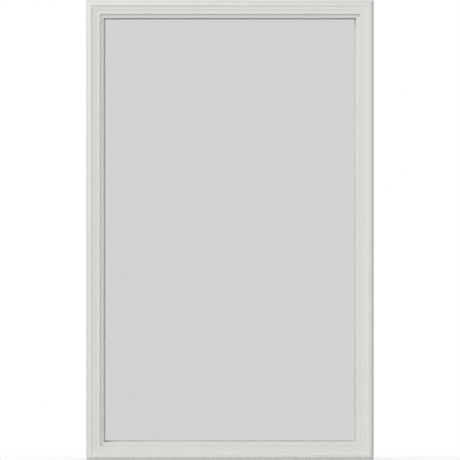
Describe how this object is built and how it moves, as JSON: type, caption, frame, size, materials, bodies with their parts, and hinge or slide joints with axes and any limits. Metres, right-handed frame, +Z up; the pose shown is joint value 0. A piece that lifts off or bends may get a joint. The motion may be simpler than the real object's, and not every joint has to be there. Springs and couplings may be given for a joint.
{
  "type": "door vision panel",
  "caption": "Rectangular glazed vision panel for a door: two stepped off-white moulded frame halves clamp a clear double-glazed unit between them.",
  "frame": {"origin": "centre of the opening in the plane of the door's outside skin, on which the exterior half's rim seats", "axes": "+Z up the door, +X to the right seen from outside, +Y from outside to inside through the door"},
  "size_m": [0.604, 0.0701, 0.965],
  "materials": {
    "frame_plastic": "satin moulded",
    "plug": "satin moulded",
    "glass": "clear, lightly tinted",
    "spacer": "satin, perforated",
    "spacer_key": "matte",
    "edge_sealant": "matte",
    "glazing_seal": "matte",
    "screw": "zinc plated"
  },
  "bodies": {
    "root": {"edge_sealant": "edge_sealant", "exterior_frame": "frame_plastic", "exterior_glazing_seal": "glazing_seal", "exterior_pane": "glass", "interior_frame": "frame_plastic", "interior_glazing_seal": "glazing_seal", "interior_pane": "glass", "screw_plug_01": "plug", "screw_plug_02": "plug", "screw_plug_03": "plug", "screw_plug_04": "plug", "screw_plug_05": "plug", "screw_plug_06": "plug", "screw_plug_07": "plug", "screw_plug_08": "plug", "screw_plug_09": "plug", "screw_plug_10": "plug", "screw_plug_11": "plug", "screw_plug_12": "plug", "spacer_bar_bottom": "spacer", "spacer_bar_left": "spacer", "spacer_bar_right": "spacer", "spacer_bar_top": "spacer", "spacer_key_bottom_left": "spacer_key", "spacer_key_bottom_right": "spacer_key", "spacer_key_top_left": "spacer_key", "spacer_key_top_right": "spacer_key"}
  },
  "joints": []
}
